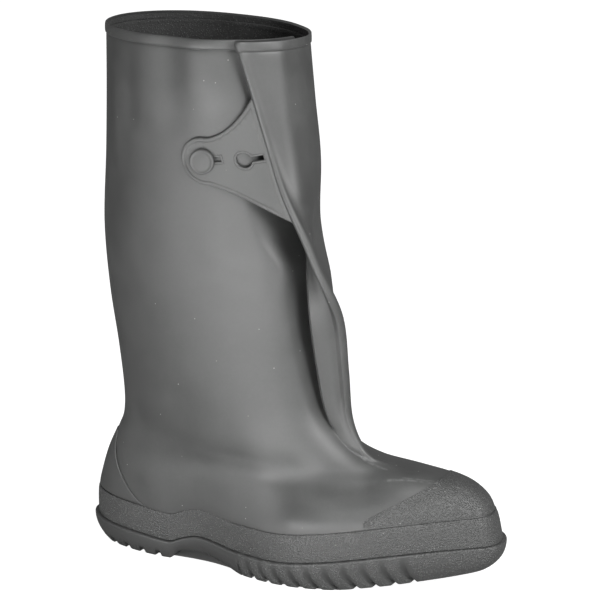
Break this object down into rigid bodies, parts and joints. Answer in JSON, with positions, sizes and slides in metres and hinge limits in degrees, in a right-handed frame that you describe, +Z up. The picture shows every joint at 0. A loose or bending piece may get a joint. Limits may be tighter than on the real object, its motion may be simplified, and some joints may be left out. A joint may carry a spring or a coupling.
{
  "type": "overboot",
  "caption": "Tall moulded rubber overboot for the right foot with a folded front gusset, a button strap, a raised collar hem and a lugged sole with heel and toe spring.",
  "frame": {"origin": "on the floor below the middle of the boot's bounding box", "axes": "+X towards the toe, +Y towards the inner side of the foot, +Z up along the shaft"},
  "size_m": [0.33, 0.1198, 0.4082],
  "materials": {
    "outsole_rubber": "pebbled moulded rubber",
    "upper_rubber": "satin moulded rubber",
    "foxing_band_rubber": "pebbled moulded rubber",
    "toe_cap_rubber": "pebbled moulded rubber",
    "heel_counter_rubber": "satin moulded rubber",
    "strap_rubber": "satin moulded rubber",
    "button_rubber": "satin moulded rubber"
  },
  "bodies": {
    "root": {"outsole": "outsole_rubber", "upper": "upper_rubber", "foxing_band": "foxing_band_rubber", "toe_cap": "toe_cap_rubber", "heel_counter": "heel_counter_rubber", "strap": "strap_rubber", "button": "button_rubber"}
  },
  "joints": []
}
